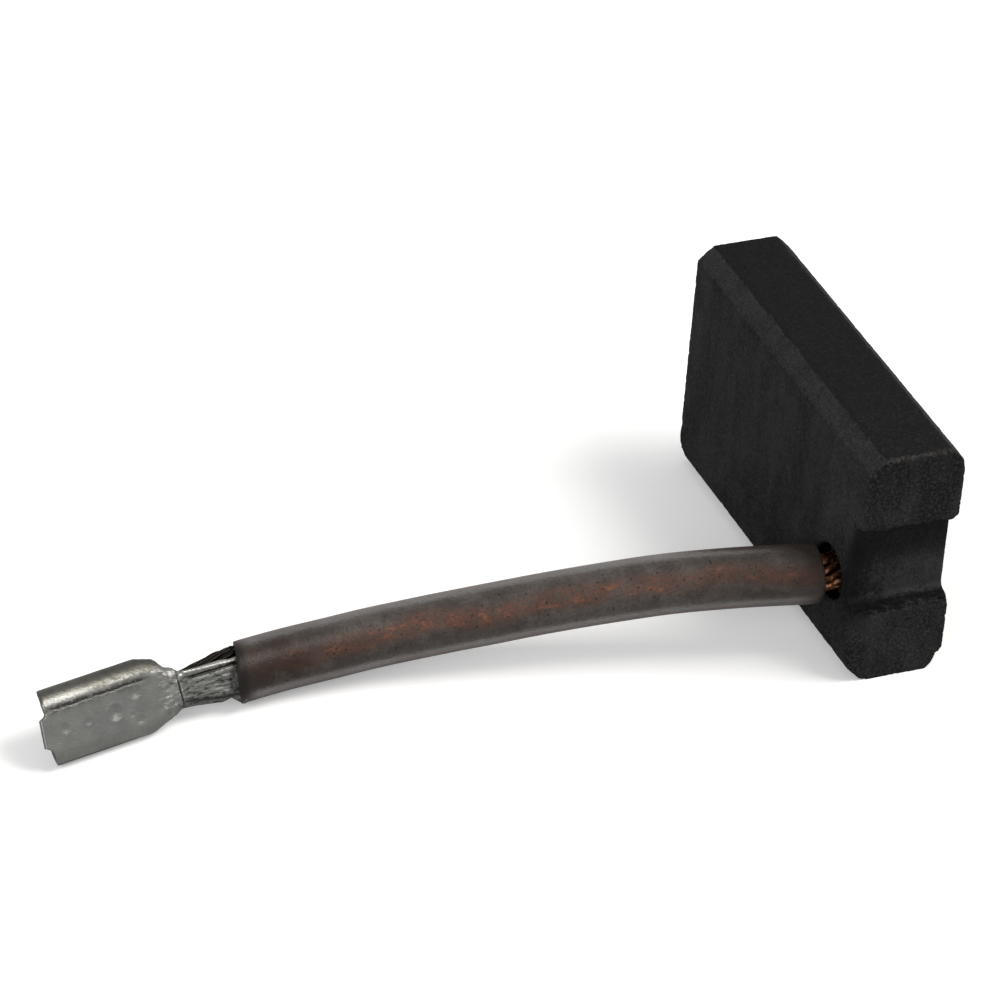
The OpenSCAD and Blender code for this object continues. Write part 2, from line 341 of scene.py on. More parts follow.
def graphite():
    m = Mat("graphite")
    geo = m.nodes.new("ShaderNodeNewGeometry")
    split = m.nodes.new("ShaderNodeSeparateXYZ")
    m.link(geo.outputs["Normal"], split.inputs[0])
    nx, ny, nz = split.outputs
    grain = m.noise(6.5, 5.0, 0.75)
    fine = m.noise(14.0, 3.0, 0.6, shift=4.0)
    smudge = m.noise(0.40, 5.0, 0.64, stretch=(1.0, 1.0, 0.50), distort=0.5)
    wipe = m.noise(1.1, 3.0, 0.6, stretch=(1.0, 1.0, 0.22), shift=11.0)
    dark = (0.0068, 0.0063, 0.0067)
    light = (0.0260, 0.0250, 0.0258)
    tone = m.add(m.mul(smudge, 0.75), m.mul(wipe, 0.25))
    tone = m.step(tone, 0.40, 0.63)
    # Painted light and shade by the way each face turns: the broad face a little lighter than
    # the ground faces round it, the top darker, the chamfers lighter.
    broad = m.step(m.mul(nx, -1.0), 0.55, 0.9)
    top = m.step(nz, 0.85, 0.97)
    edge = m.mul(m.step(m.absolute(nx), 0.35, 0.6), m.step(m.absolute(nz), 0.35, 0.6))
    tone = m.mul(tone, m.sub(1.0, m.mul(top, 0.95)))
    tone = m.add(tone, m.mul(edge, 0.65))
    tone = m.add(tone, m.mul(broad, 0.05))
    # A pale upright streak beside the pit, and a grainier stretch between it and the end.
    streak = m.mul(m.step(m.y, -5.9, -5.45), m.step(m.y, -4.95, -5.35))
    streak = m.mul(broad, m.step(m.z, 4.6, 6.2), streak)
    tone = m.add(tone, m.mul(streak, 0.22))
    near = m.step(m.y, -5.4, -6.2)
    tone = m.add(tone, m.mul(near, broad, m.step(m.z, 6.0, 7.5, 0.0, 0.30)))
    speck = m.mul(m.step(grain, 0.44, 0.66), m.add(0.7, m.mul(near, 0.3)))
    colour = m.mix(m.math("MULTIPLY", tone, 0.85, clamp=True), dark, light)
    # Fewer pale specks on the top, part of its painted shade.
    speck = m.mul(speck, m.sub(1.0, m.mul(top, 0.65)))
    colour = m.mix(m.mul(speck, 0.62), colour, (0.052, 0.049, 0.050))
    colour = m.mix(m.step(fine, 0.49, 0.36, 0.0, 0.75), colour, (0.003, 0.003, 0.003))
    # The groove: painted shade under its upper lip, a paler patch low in it, and painted
    # shade in dark ragged lines along its lips.
    front = m.step(m.mul(ny, -1.0), 0.3, 0.7)
    bottom = m.mul(front, m.step(m.y, -9.5, -9.3))
    shade_under_lip = m.mul(bottom, m.step(m.z, 5.6, 6.9))
    colour = m.mix(m.mul(shade_under_lip, 0.62), colour, (0.004, 0.004, 0.0045))
    patch = m.noise(0.9, 5.0, 0.7, shift=7.0)
    pale = m.mul(m.step(m.z, 6.3, 5.5), m.step(m.x, -1.5, -0.2), bottom,
                 m.step(patch, 0.40, 0.60))
    colour = m.mix(m.mul(pale, 0.60), colour, (0.036, 0.036, 0.040))
    ragged = m.noise(2.6, 5.0, 0.7, shift=13.0)
    lips = m.most(m.line(m.z, 8.50, 0.20, ragged, 0.65),
                  m.line(m.z, 4.02, 0.26, ragged, 0.85))
    lips = m.mul(lips, m.step(m.y, -8.9, -9.1), m.step(ragged, 0.40, 0.50))
    colour = m.mix(m.mul(lips, 0.90), colour, (0.0025, 0.0025, 0.003))
    # Painted shadow of the lead on the strip between the pit and the near end, beside the
    # groove, on the side where the lead leaves.
    beside = m.sub(1.0, m.mul(front, m.step(m.x, -2.3, -1.1)))
    beside = m.mul(beside, m.step(m.x, -0.6, -1.2))
    beside = m.mul(m.step(m.z, 2.4, 4.4), m.step(m.z, 8.6, 6.8), m.step(m.y, -8.35, -8.9),
                   beside)
    colour = m.mix(m.mul(beside, 0.75), colour, (0.003, 0.003, 0.0035))
    holes = m.step(m.cells(2.3, 3.0), 0.16, 0.05)
    pores = m.mul(holes, m.add(0.15, m.mul(near, 0.6)))
    colour = m.mix(pores, colour, (0.003, 0.003, 0.003))
    # Painted highlight: a slightly bright arris between the top and the near end.
    arris = m.mul(m.step(m.y, -9.72, -9.93), m.step(m.z, 12.2, 12.42))
    colour = m.mix(m.mul(arris, m.step(grain, 0.42, 0.60, 0.0, 0.6)), colour,
                   (0.050, 0.048, 0.044))
    # Deep in the pit hardly any light is left on the powdery wall. The mask ends with
    # the pit, short of the far broad face.
    from_axis = m.add(m.math("POWER", m.sub(m.y, PIT_Y), 2.0),
                      m.math("POWER", m.sub(m.z, PIT_Z), 2.0))
    inside = m.mul(m.step(from_axis, 2.25, 1.95), m.step(m.x, -HALF_T, -2.25),
                   m.step(m.x, 2.1, 1.8))
    colour = m.mix(inside, colour, (0.002, 0.002, 0.002))
    height = m.add(m.mul(grain, 0.7), m.mul(fine, 0.3))
    height = m.sub(height, m.mul(holes, 0.35))
    rough = m.step(smudge, 0.3, 0.7, 0.62, 0.78)
    return m.done(m.shader(Base_Color=colour, Roughness=rough, Specular_IOR_Level=0.08,
                           Normal=m.bump(height, 0.00004, 0.7)))


def tamped():
    m = Mat("tamped_copper")
    grain = m.noise(9.0, 4.0, 0.7)
    lumps = m.cells(6.0)
    colour = m.mix(m.step(grain, 0.4, 0.65), (0.010, 0.007, 0.006), (0.09, 0.045, 0.03))
    height = m.add(grain, m.mul(lumps, 0.6))
    return m.done(m.shader(Base_Color=colour, Roughness=0.8, Metallic=0.25,
                           Normal=m.bump(height, 0.00008, 1.0)))


def copper():
    m = Mat("copper_strand")
    spots = m.noise(3.2, 4.0, 0.65)
    fine = m.noise(16.0, 3.0, 0.6)
    colour = m.mix(m.step(spots, 0.35, 0.68), (0.60, 0.22, 0.10), (0.93, 0.50, 0.30))
    colour = m.mix(m.step(fine, 0.5, 0.75), colour, (0.30, 0.11, 0.06))
    # Painted shade in the mouth of the pit, with a few strands left bright.
    pit = m.mul(m.step(m.x, -3.35, -3.15), m.step(spots, 0.60, 0.46, 0.2, 1.0))
    colour = m.mix(m.mul(pit, 0.90), colour, (0.055, 0.020, 0.012))
    # Darker where the strands run into the crimp: dirt and oxide on them, and painted shade.
    crimp = m.step(m.x, -30.2, -30.9)
    colour = m.mix(crimp, colour, (0.012, 0.010, 0.009))
    rough = m.step(fine, 0.3, 0.7, 0.28, 0.45)
    return m.done(m.shader(Base_Color=colour, Metallic=1.0, Roughness=rough,
                           Normal=m.bump(fine, 0.00002, 0.6)))


def sleeve_plastic():
    """Smoky tube: grey and a little milky, with the copper showing in warm streaks."""
    m = Mat("sleeve_plastic")
    haze = m.noise(0.9, 4.0, 0.6, distort=0.4)
    fine = m.noise(9.0, 3.0, 0.6)
    grit = m.noise(6.0, 3.0, 0.65, shift=5.0)
    specks = m.step(m.cells(2.3, 1.0), 0.17, 0.09)
    tiny = m.step(m.cells(5.5, 7.0), 0.27, 0.14)
    milk = m.mix(m.step(haze, 0.35, 0.65), (0.050, 0.040, 0.035), (0.080, 0.067, 0.060))
    # The strands come nearest to the wall along four lines round the tube.
    round_the_tube = m.math("COSINE", m.mul(m.around, 4.0))
    core = m.step(round_the_tube, -0.55, 0.60)
    streak = m.noise(1.7, 6.0, 0.72, stretch=(0.55, 1.4, 1.4), distort=0.25, shift=3.0)
    glow = m.noise(0.55, 3.0, 0.5, shift=21.0)
    milk = m.mix(m.mul(core, m.step(glow, 0.30, 0.60, 0.25, 0.75)), milk,
                 (0.088, 0.040, 0.026))
    warm = m.mul(m.step(round_the_tube, 0.25, 0.95), m.step(streak, 0.42, 0.62))
    copper_tint = m.mix(m.step(streak, 0.54, 0.70),
                        (0.120, 0.045, 0.026), (0.26, 0.098, 0.050))
    milk = m.mix(m.mul(warm, 0.80), milk, copper_tint)
    milk = m.mix(m.step(grit, 0.50, 0.36, 0.0, 0.5), milk, (0.028, 0.024, 0.022))
    milk = m.mix(m.mul(tiny, 0.60), milk, (0.016, 0.013, 0.012))
    milk = m.mix(m.mul(specks, 0.85), milk, (0.008, 0.007, 0.007))
    # Darker towards both cut ends than along the polished wall.
    ends = m.most(m.step(m.x, -29.9, -30.8), m.step(m.x, -4.8, -3.5, 0.0, 0.8))
    milk = m.mix(m.mul(ends, 0.75), milk, (0.020, 0.017, 0.016))
    rim = m.step(m.x, -30.2, -30.8)
    milk = m.mix(m.mul(rim, 0.70), milk, (0.007, 0.006, 0.006))
    # It grows darker and browner towards both ends.
    dim = m.most(m.step(m.x, -24.0, -29.0, 0.0, 0.78),
                 m.step(m.x, -11.0, -6.5, 0.0, 0.35))
    milk = m.mix(m.mul(m.sub(dim, m.mul(rim, 0.6)), m.step(haze, 0.70, 0.40, 0.6, 1.0)),
                 milk, (0.026, 0.016, 0.012))
    normal = m.bump(m.add(fine, m.mul(haze, 2.0)), 0.000025, 0.6)
    gloss = m.sub(0.42, m.mul(m.most(ends, dim), 0.28))
    body = m.shader(Base_Color=milk, Roughness=0.40, Specular_IOR_Level=gloss, Normal=normal)
    clear = m.shader(Base_Color=(0.42, 0.34, 0.30), Roughness=0.20, IOR=1.25,
                     Transmission_Weight=1.0, Specular_IOR_Level=0.3, Normal=normal)
    mixer = m.nodes.new("ShaderNodeMixShader")
    # The share of the wall that shows the strands behind it.
    open_share = m.mul(m.step(haze, 0.3, 0.7, 0.26, 0.16), m.sub(1.0, m.mul(ends, 0.9)))
    m.link(open_share, mixer.inputs[0])
    m.link(body, mixer.inputs[1])
    m.link(clear, mixer.inputs[2])
    return m.done(mixer.outputs[0])


def tinned():
    """Tinned sheet. bx, by, bz are the box's own axes and cx, cy, cz the crimp's."""
    m = Mat("tinned_sheet")
    bx, by, bz = m.local(BOX_TURN, CRIMP_AT)
    cx, cy, cz = m.local(CRIMP_TURN, CRIMP_AT)
    cloud = m.noise(1.3, 4.0, 0.6)
    fine = m.noise(12.0, 4.0, 0.65)
    # Fine marks of the rolling, along the sheet.
    grainy = m.noise(7.0, 3.0, 0.6, stretch=(0.5, 2.4, 2.4))
    colour = m.mix(m.step(cloud, 0.3, 0.7),
                   (0.250, 0.250, 0.243), (0.305, 0.305, 0.293))
    colour = m.mix(m.mul(m.step(fine, 0.5, 0.72), 0.35), colour, (0.15, 0.15, 0.14))
    outside = m.step(bz, -0.80, -0.88)
    # A ragged dark line between the floor and the upper roll, with scratches off it: painted
    # dark reflection at the start of the bend.
    ragged = m.noise(3.6, 4.0, 0.7, shift=6.0)
    crease = m.line(by, -1.13, 0.12, ragged, 0.36)
    crease = m.mul(m.step(bx, -7.4, -6.9), m.step(bx, -1.9, -2.5), crease,
                   m.step(ragged, 0.30, 0.46), outside)
    colour = m.mix(m.mul(crease, 0.88), colour, (0.030, 0.029, 0.026))
    # Painted shade in a soft band along and below the crease.
    shade_below_crease = m.mul(m.step(by, -0.70, -1.05), m.step(by, -1.45, -1.15), outside,
                  m.step(bx, -1.6, -2.6), m.step(ragged, 0.38, 0.60, 0.0, 0.6))
    colour = m.mix(shade_below_crease, colour, (0.10, 0.098, 0.09))
    # Painted shade on the lower bend where it turns under.
    under = m.mul(m.step(by, 1.42, 1.51), m.step(bx, -2.6, -3.6))
    colour = m.mix(m.mul(under, 0.75), colour, (0.05, 0.049, 0.046))
    # Scuffs on the upper roll, and painted shade over its upper part that dims the top of the
    # highlight.
    scuff = m.noise(3.4, 5.0, 0.72, stretch=(0.8, 1.4, 1.4), shift=9.0)
    on_roll = m.mul(m.step(by, -1.40, -1.62), m.step(bx, 0.0, -1.0))
    colour = m.mix(m.mul(m.step(scuff, 0.50, 0.62), 0.8, on_roll), colour,
                   (0.075, 0.072, 0.062))
    colour = m.mix(m.mul(on_roll, 0.70), colour, (0.12, 0.116, 0.100))
    # The roll's rear half has lost its shine: rougher and scuffed, with painted shade that
    # dims the highlight there.
    worn_and_shaded = m.mul(m.step(by, -1.20, -1.34), m.step(bx, -5.8, -4.3))
    worn_and_shaded = m.mul(m.step(scuff, 0.40, 0.58, 0.40, 1.0), m.step(bx, -0.8, -1.3), worn_and_shaded)
    colour = m.mix(m.mul(worn_and_shaded, 0.72), colour, (0.105, 0.100, 0.086))
    # Dirt from the tooling on the neck and the crimp.
    worked = m.step(bx, -1.9, -0.9)
    dirt = m.noise(4.0, 5.0, 0.7, stretch=(0.6, 1.6, 1.6), shift=2.0)
    colour = m.mix(m.mul(m.step(dirt, 0.50, 0.68), 0.75, worked), colour,
                   (0.045, 0.043, 0.038))
    # Painted shade in the step where the neck ends and in the folds along the crimp.
    slope = m.sub(cx, m.mul(cy, 0.10))
    step_line = m.mul(m.line(slope, -0.36, 0.085, dirt, 0.10), m.step(cy, -0.62, -0.35))
    in_crimp = m.mul(m.step(cx, -0.1, 0.25), m.step(cz, 0.2, -0.1))
    fold_top = m.line(m.add(cy, m.mul(cx, 0.06)), -0.50, 0.10, dirt, 0.22)
    fold_low = m.line(m.sub(cy, m.mul(cx, 0.08)), 0.62, 0.14, dirt, 0.5)
    folds = m.most(m.mul(fold_top, in_crimp), m.mul(fold_low, in_crimp))
    dark = m.most(step_line, folds)
    colour = m.mix(m.mul(dark, 0.85), colour, (0.022, 0.021, 0.019))
    on_crimp = m.mul(m.step(cx, -0.5, 0.0), m.step(cy, -0.62, -0.45))
    colour = m.mix(m.mul(on_crimp, 0.42), colour, (0.10, 0.10, 0.095))
    flecks = m.mul(on_crimp, m.step(dirt, 0.51, 0.60))
    colour = m.mix(m.mul(flecks, 0.80), colour, (0.028, 0.027, 0.024))
    rough = m.add(m.step(fine, 0.25, 0.75, 0.30, 0.46), m.mul(on_crimp, 0.20))
    rough = m.add(rough, m.mul(worked, m.step(cx, -0.2, -0.5), 0.12))
    rough = m.add(rough, m.mul(worn_and_shaded, 0.12))
    height = m.add(m.mul(fine, 0.5), m.mul(grainy, 0.7))
    height = m.sub(height, m.mul(m.most(crease, dark), 0.8))
    return m.done(m.shader(Base_Color=colour, Metallic=1.0, Roughness=rough,
                           Normal=m.bump(height, 0.000025, 0.55)))


GRAPHITE = graphite()
TAMPED = tamped()
COPPER = copper()
SLEEVE = sleeve_plastic()
TINNED = tinned()


# ---------------------------------------------------------------- copper strands

STRAND_R = 0.19
STRAND_SIDES = 10
use = dist >= place_of(-0.55)       # the strands start inside the plug
c, s, u, d = line[use], side[use], upward[use], dist[use]
crimp_at = place_of(SLEEVE_END)
end_at = dist[-1]
past = d - crimp_at
squeeze = 1.0 - 0.16 * smooth(0.0, 0.7, past) - 0.24 * smooth(0.5, end_at - crimp_at, past)
# In the crimp the bundle is pushed up, out of the open seam.
lift = np.interp(past, [-1.6, -0.4, 0.2, 0.8, 3.0, end_at - crimp_at],
                 [0.0, 0.24, 0.40, 0.46, 0.20, 0.10])
seam_dir = np.array([-0.052, 0.480, 0.875])
verts, faces = [], []
# Three lays: the radius in strand radii, how many strands, and the pitch of the twist.
for ring, count, pitch in ((0, 1, 15.0), (2, 6, -13.0), (4, 12, 16.0)):
    for k in range(count):
        number = ring * 10 + k
        wander = np.array([noise.noise(Vector((q * 0.35, number * 3.1, 1.0)))
                           for q in d])
        around = 2 * math.pi * (k / count + d / pitch) + 0.10 * wander
        radius = ring * STRAND_R * (1 + 0.05 * wander) * squeeze
        mid = (c + lift[:, None] * seam_dir
               + (radius * np.cos(around))[:, None] * s
               + (radius * np.sin(around))[:, None] * u)
        # Each swells and thins a little along its way.
        r = STRAND_R * 0.99 * squeeze * (1 + 0.06 * np.sin(2 * math.pi * d / 0.9 + number))
        v, f = tube(mid, r, STRAND_SIDES, s, u)
        base = sum(len(q) for q in verts)
        faces += [tuple(i + base for i in q) for q in f]
        faces.append(tuple(base + i for i in reversed(range(STRAND_SIDES))))
        faces.append(tuple(base + len(v) - STRAND_SIDES + i for i in range(STRAND_SIDES)))
        verts.append(v)
wire = make_piece("shunt_strands", np.concatenate(verts), faces, COPPER)
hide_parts("shunt_wire")


# ---------------------------------------------------------------- sleeve

SIDES = 64
STEPS = 200
LIP = 0.06                          # how far the cut ends are rounded
# The side of the tube that faces up and towards -Y.
FACING = np.array([0.044, -0.768, 0.639])
at = np.linspace(place_of(SLEEVE_START), place_of(SLEEVE_END), STEPS)
mids = np.stack([np.interp(at, dist, line[:, i]) for i in range(3)], axis=1)
heads = np.gradient(mids, axis=0)
heads /= np.linalg.norm(heads, axis=1)[:, None]
lefts = np.cross(heads, [0.0, 0.0, 1.0])
lefts /= np.linalg.norm(lefts, axis=1)[:, None]
tops = np.cross(lefts, heads)
ang = np.arange(SIDES) * 2 * math.pi / SIDES
wave = np.array([[noise.noise(Vector((a * 0.45, math.cos(b) * 0.7, math.sin(b) * 0.7)))
                  for b in ang] for a in at])
outer = SLEEVE_R + 0.012 * wave
inner = SLEEVE_BORE_R + 0.010 * wave
cut_wave = 0.03 * np.sin(ang * 2 + 0.6) + 0.02 * np.sin(ang * 3)
# The end at the crimp was cut on the slant: how far each side of the tube reaches on.
slant = 0.40 * FACING - 0.17 * np.array([-0.108, 0.633, 0.767])
rows = []                           # a closed loop of rings: outside, then back inside
for i in range(STEPS):
    rows.append((mids[i], lefts[i], tops[i], outer[i], heads[i], 0.0))
rows.append((mids[-1], lefts[-1], tops[-1], outer[-1] - LIP * 0.5, heads[-1], LIP * 0.75))
rows.append((mids[-1], lefts[-1], tops[-1], inner[-1] + LIP * 0.5, heads[-1], LIP * 0.75))
for i in reversed(range(STEPS)):
    rows.append((mids[i], lefts[i], tops[i], inner[i], heads[i], 0.0))
rows.append((mids[0], lefts[0], tops[0], inner[0] + LIP * 0.5, heads[0], -LIP * 0.75))
rows.append((mids[0], lefts[0], tops[0], outer[0] - LIP * 0.5, heads[0], -LIP * 0.75))
verts = []
for mid, a, b, r, ahead, push in rows:
    to_start, to_end = np.linalg.norm(mid - mids[0]), np.linalg.norm(mid - mids[-1])
    end = smooth(0.5, 0.0, to_start) - smooth(0.5, 0.0, to_end)
    ring = (r * np.cos(ang))[:, None] * a + (r * np.sin(ang))[:, None] * b
    reach = smooth(2.4, 0.0, to_end)
    shift = push - end * cut_wave + reach * (ring @ slant)
    verts.append(mid + ring + np.outer(shift, ahead))
verts = np.concatenate(verts)
faces = []
n = len(rows)
for i in range(n):
    j = (i + 1) % n
    for k in range(SIDES):
        q = (k + 1) % SIDES
        faces.append((i * SIDES + k, i * SIDES + q, j * SIDES + q, j * SIDES + k))
sleeve = make_piece("sleeve_tube", verts, faces, SLEEVE)
# The angle from the facing side, which drifts slowly along the tube.
values = []
for mid, a, b, *_ in rows:
    zero = math.atan2(float(np.dot(FACING, b)), float(np.dot(FACING, a)))
    drift = 0.22 * noise.noise(Vector((mid[0] * 0.35, 0.0, 5.0)))
    values.append(ang - zero + drift)
layer = sleeve.data.attributes.new("around", "FLOAT", "POINT")
layer.data.foreach_set("value", np.concatenate(values).astype(np.float32))
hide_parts("sleeve")


# ---------------------------------------------------------------- receptacle
# One folded sheet. Local X runs back towards the lead from the front of the crimp,
# local Y across the floor (down as it lies), local Z from the floor to the rolls.

SHEET = 0.25
ROLL_R = 0.80
FLOOR_HALF = 1.00
BOX_L = 5.4
NECK_L = 2.1
BARREL_R = 0.93
NECK_STEP = 0.20
CRIMP_FLAT = 0.42
CRIMP_START = -0.42                 # the wings part from the neck in front of the crimp
# How far each side of the neck has gone from the box's section to the crimp's.
NECK_UPPER = [(-NECK_L, 0), (-2.0, 0.02), (-1.65, 0.09), (-1.25, 0.18), (-1.08, 0.36),
              (-0.93, 0.53), (-0.6, 0.68), (-0.3, 0.84), (0, 1)]
NECK_LOWER = [(-NECK_L, 0), (-1.98, 0.04), (-1.75, 0.17), (-0.6, 0.86), (-0.35, 0.96),
              (0, 1)]


def lerp_table(x, table):
    xs, ys = zip(*table)
    return np.interp(x, xs, ys)


def sheet_section(x, side):
    """Half width of the flat, outer bend radius, side step and floor level at this x."""
    t = float(lerp_table(x, NECK_LOWER if side == "L" else NECK_UPPER))
    full = lerp_table(x, [(0, BARREL_R), (0.5, 0.94), (1.8, 1.06), (2.3, 0.98),
                          (CRIMP_L, 1.08)])
    flat = FLOOR_HALF + (CRIMP_FLAT - FLOOR_HALF) * t
    bend = ROLL_R + (full - CRIMP_FLAT - ROLL_R) * t if x <= 0 else full - CRIMP_FLAT
    middle = float(lerp_table(x, [(-NECK_L, 0), (-0.3, 1)]))
    step = -NECK_STEP * (1 - middle)
    floor = -BARREL_R - 0.4 * (full - BARREL_R) if x > 0 else -BARREL_R
    return flat, bend, step, floor


def flare(x, side, angle):
    """The lower wing opens out at the back of the crimp."""
    if side != "L" or x < 2.2:
        return 0.0
    return 0.34 * float(smooth(2.25, 2.95, x)) * float(smooth(15, 75, angle))


# Columns across the sheet: place on the flat, or the angle round a bend.
N_FLAT, N_BEND, N_ROLL, N_WRAP = 40, 42, 30, 46
TURN_BOX, TURN_NECK, TURN_END, TURN_WING, TURN_WRAP = 270.0, 150.0, 105.0, 50.0, 228.0
WING_COLS = 20                      # 50 degrees out of 105, in steps of 2.5


def columns(part, x):
    """(side, flat share, angle) for each column in this part of the sheet."""
    turn = TURN_NECK + (TURN_END - TURN_NECK) * float(smooth(-NECK_L, CRIMP_START - 0.4, x))
    cols = [("F", k / N_FLAT * 2 - 1, 0.0) for k in range(N_FLAT + 1)]
    for name in "UL":
        if part == "box":
            angles = [TURN_NECK * k / N_BEND for k in range(1, N_BEND + 1)]
            angles += [TURN_NECK + (TURN_BOX - TURN_NECK) * k / N_ROLL
                       for k in range(1, N_ROLL + 1)]
        elif part == "neck":
            angles = [turn * k / N_BEND for k in range(1, N_BEND + 1)]
        elif name == "U":
            angles = [TURN_WING * k / WING_COLS for k in range(1, WING_COLS + 1)]
        else:
            angles = [TURN_END * k / N_BEND for k in range(1, N_BEND + 1)]
            angles += [TURN_END + (TURN_WRAP - TURN_END) * k / N_WRAP
                       for k in range(1, N_WRAP + 1)]
        cols += [(name, 1.0, a) for a in angles]
    return cols


# Where the front edge of the sheet lies, by the way across it (mm along the outside).
FRONT = [(-4.77, 0.62), (-3.9, 0.66), (-3.2, 0.58), (-2.7, 0.40), (-2.26, 0.17),
         (-1.8, 0.04), (-1.3, -0.05), (-0.98, -0.04), (-0.80, 0.0), (-0.70, -0.04),
         (-0.62, -0.18), (-0.57, -0.33), (0.76, -0.38), (0.80, -0.26), (0.90, -0.10),
         (1.05, 0.0), (1.25, 0.04), (1.45, 0.06), (1.70, 0.10), (2.05, 0.26), (2.4, 0.46),
         (3.0, 0.55), (3.9, 0.62), (4.77, 0.6)]
# Round marks of the tooling on the outside of the floor: x, y, radius, depth. The
# locking dimple stands out inside as well.
DIMPLE = (3.47, 0.16, 0.40, 0.058)
MARKS = [(0.80, 0.12, 0.28, 0.031), (2.03, 0.14, 0.22, 0.026), DIMPLE,
         (4.68, -0.45, 0.34, 0.042), (4.67, 0.89, 0.28, 0.036), (4.30, 0.50, 0.14, 0.015)]


def outside_dent(x, s):
    """How far the outside of the sheet lies inwards at box place x, way across s."""
    depth = 0.0
    for mx, my, mr, md in MARKS:
        r = math.hypot(x - mx, s - my) / mr
        if r < 1.45:
            hollow, rim = math.exp(-(r * 1.5) ** 2), math.exp(-((r - 1.05) * 5) ** 2)
            depth += md * (hollow - 0.20 * rim)
    # A fine crease where the floor turns into the upper roll.
    if 0.1 < x < 5.9:
        off = s + 0.90 + 0.02 * math.sin(x * 3.1)
        depth += 0.009 * math.exp(-(off / 0.055) ** 2) * float(smooth(5.9, 5.2, x))
    return depth


def worked(x, s):
    """Hammered neck, step in front of the crimp and folds along it."""
    p = Vector((x * 2.6, s * 3.0, 4.0))
    neck = float(smooth(-2.0, -1.0, x) * smooth(0.0, -0.35, x))
    d = 0.034 * neck * (noise.fractal(p, 1.0, 2.0, 3) + 0.25 * noise.cell(p * 2.0))
    if s > -0.75:
        d += 0.060 * math.exp(-((x + 0.36 - 0.10 * s) / 0.06) ** 2)
    crimp = float(smooth(-0.3, 0.0, x) * smooth(CRIMP_L + 0.2, CRIMP_L - 0.2, x))
    rumpled = crimp * float(smooth(-0.70, -0.50, s))
    q = Vector((x * 0.9, s * 4.6, 9.0))
    d += 0.032 * rumpled * noise.fractal(q, 1.0, 2.0, 3)
    q = Vector((x * 2.4, s * 3.0, 3.0))
    d += 0.022 * rumpled * max(0.0, noise.fractal(q, 1.0, 2.0, 4) - 0.05) * 2
    # Two pressed folds: under the bright edge of the upper wing and along the lower bend.
    d += 0.08 * crimp * math.exp(-((s + 0.50 + 0.06 * x) / 0.07) ** 2)
    low = crimp * float(smooth(0.2, 1.0, x))
    d += 0.07 * low * math.exp(-((s - 0.70 - 0.08 * x) / 0.08) ** 2)
    # The upper wing's edge stands out a little.
    d -= 0.11 * crimp * float(smooth(-0.56, -0.80, s))
    # Small bulge at the top of the neck, in front of the open seam.
    d -= 0.07 * math.exp(-((x + 0.60) / 0.16) ** 2) * float(smooth(-0.55, -0.85, s))
    return d


def vertex(part, col, x):
    """The outer and inner points of one column at one station, and its final x."""
    name, share, angle = col
    rear = NECK_L + BOX_L
    half = "L" if name == "L" or (name == "F" and share > 0) else "U"
    flat, bend, step, floor = sheet_section(x, half)
    sign = -1.0 if name == "U" else 1.0
    a = math.radians(angle)
    if name == "F":
        s = share * flat
    else:
        s = sign * (flat + bend * a)
    if part == "box":               # the front edge isn't straight
        f = float(np.interp(s, *zip(*FRONT)))
        x = x + f * float(smooth(-rear + 1.6, -rear, x))
        flat, bend, step, floor = sheet_section(x, half)
    if part == "neck" and name == "U":      # the shoulder's upper corner leans forward
        x = x - 0.33 * float(smooth(35, 95, angle) * smooth(-1.2, CRIMP_START, x))
    from_front = x + rear
    dent = outside_dent(from_front, s) + worked(x, s)
    dent += 0.008 * noise.noise(Vector((x * 1.1, s * 1.1, 0.0)))
    inner_dent = worked(x, s) * 0.8
    from_dimple = math.hypot(from_front - DIMPLE[0], s - DIMPLE[1])
    inner_dent += 0.12 * math.exp(-(from_dimple / 0.24) ** 2)
    if name == "F":
        base = np.array([x, step + s, floor])
        normal = np.array([0.0, 0.0, -1.0])
    else:
        if part == "crimp":
            bend = bend + flare(x, name, angle)
        rest = sheet_section(x, half)[1]
        base = np.array([x, step + sign * (flat + bend * math.sin(a)),
                         floor + rest - bend * math.cos(a)])
        normal = np.array([0.0, sign * math.sin(a), -math.cos(a)])
    return base - normal * dent, base - normal * (SHEET + inner_dent), x


def to_world(p, x):
    """Turns from the box's axes to the crimp's along the neck."""
    w = float(smooth(-0.9, 0.15, x))
    return CRIMP_AT + (1 - w) * (BOX_TURN @ p) + w * (CRIMP_TURN @ p)


stations = {
    "box": np.linspace(-NECK_L - BOX_L, -NECK_L, 104),
    "neck": np.linspace(-NECK_L, CRIMP_START, 44),
    "crimp": np.linspace(CRIMP_START, CRIMP_L, 92),
}


def mark_of(x, col):
    """What two parts of the sheet share where a column of each has the same place."""
    return (round(x, 6), col[0], round(col[1], 6), round(col[2], 3))


number_of = {}
outer_pts, inner_pts, cells = [], [], []
for part, xs in stations.items():
    for x in xs:
        for col in columns(part, x):
            if mark_of(x, col) in number_of:
                continue
            o, q, xx = vertex(part, col, x)
            number_of[mark_of(x, col)] = len(outer_pts)
            outer_pts.append(to_world(o, xx))
            inner_pts.append(to_world(q, xx))
    for pair in zip(xs[:-1], xs[1:]):
        rows = []
        for x in pair:
            # Across the sheet: the upper side from its edge in, the flat, the lower side out.
            cols = columns(part, x)
            ups = [q for q in cols if q[0] == "U"][::-1]
            flats = [q for q in cols if q[0] == "F"]
            lows = [q for q in cols if q[0] == "L"]
            rows.append([number_of[mark_of(x, q)] for q in ups + flats + lows])
        for k in range(len(rows[0]) - 1):
            cells.append((rows[0][k], rows[0][k + 1], rows[1][k + 1], rows[1][k]))
N_PTS = len(outer_pts)
outer_pts, inner_pts = np.array(outer_pts), np.array(inner_pts)
edge_of = {}
for f in cells:
    for a, b in zip(f, f[1:] + f[:1]):
        edge_of.setdefault((min(a, b), max(a, b)), []).append((a, b))
rim = [v[0] for v in edge_of.values() if len(v) == 1]
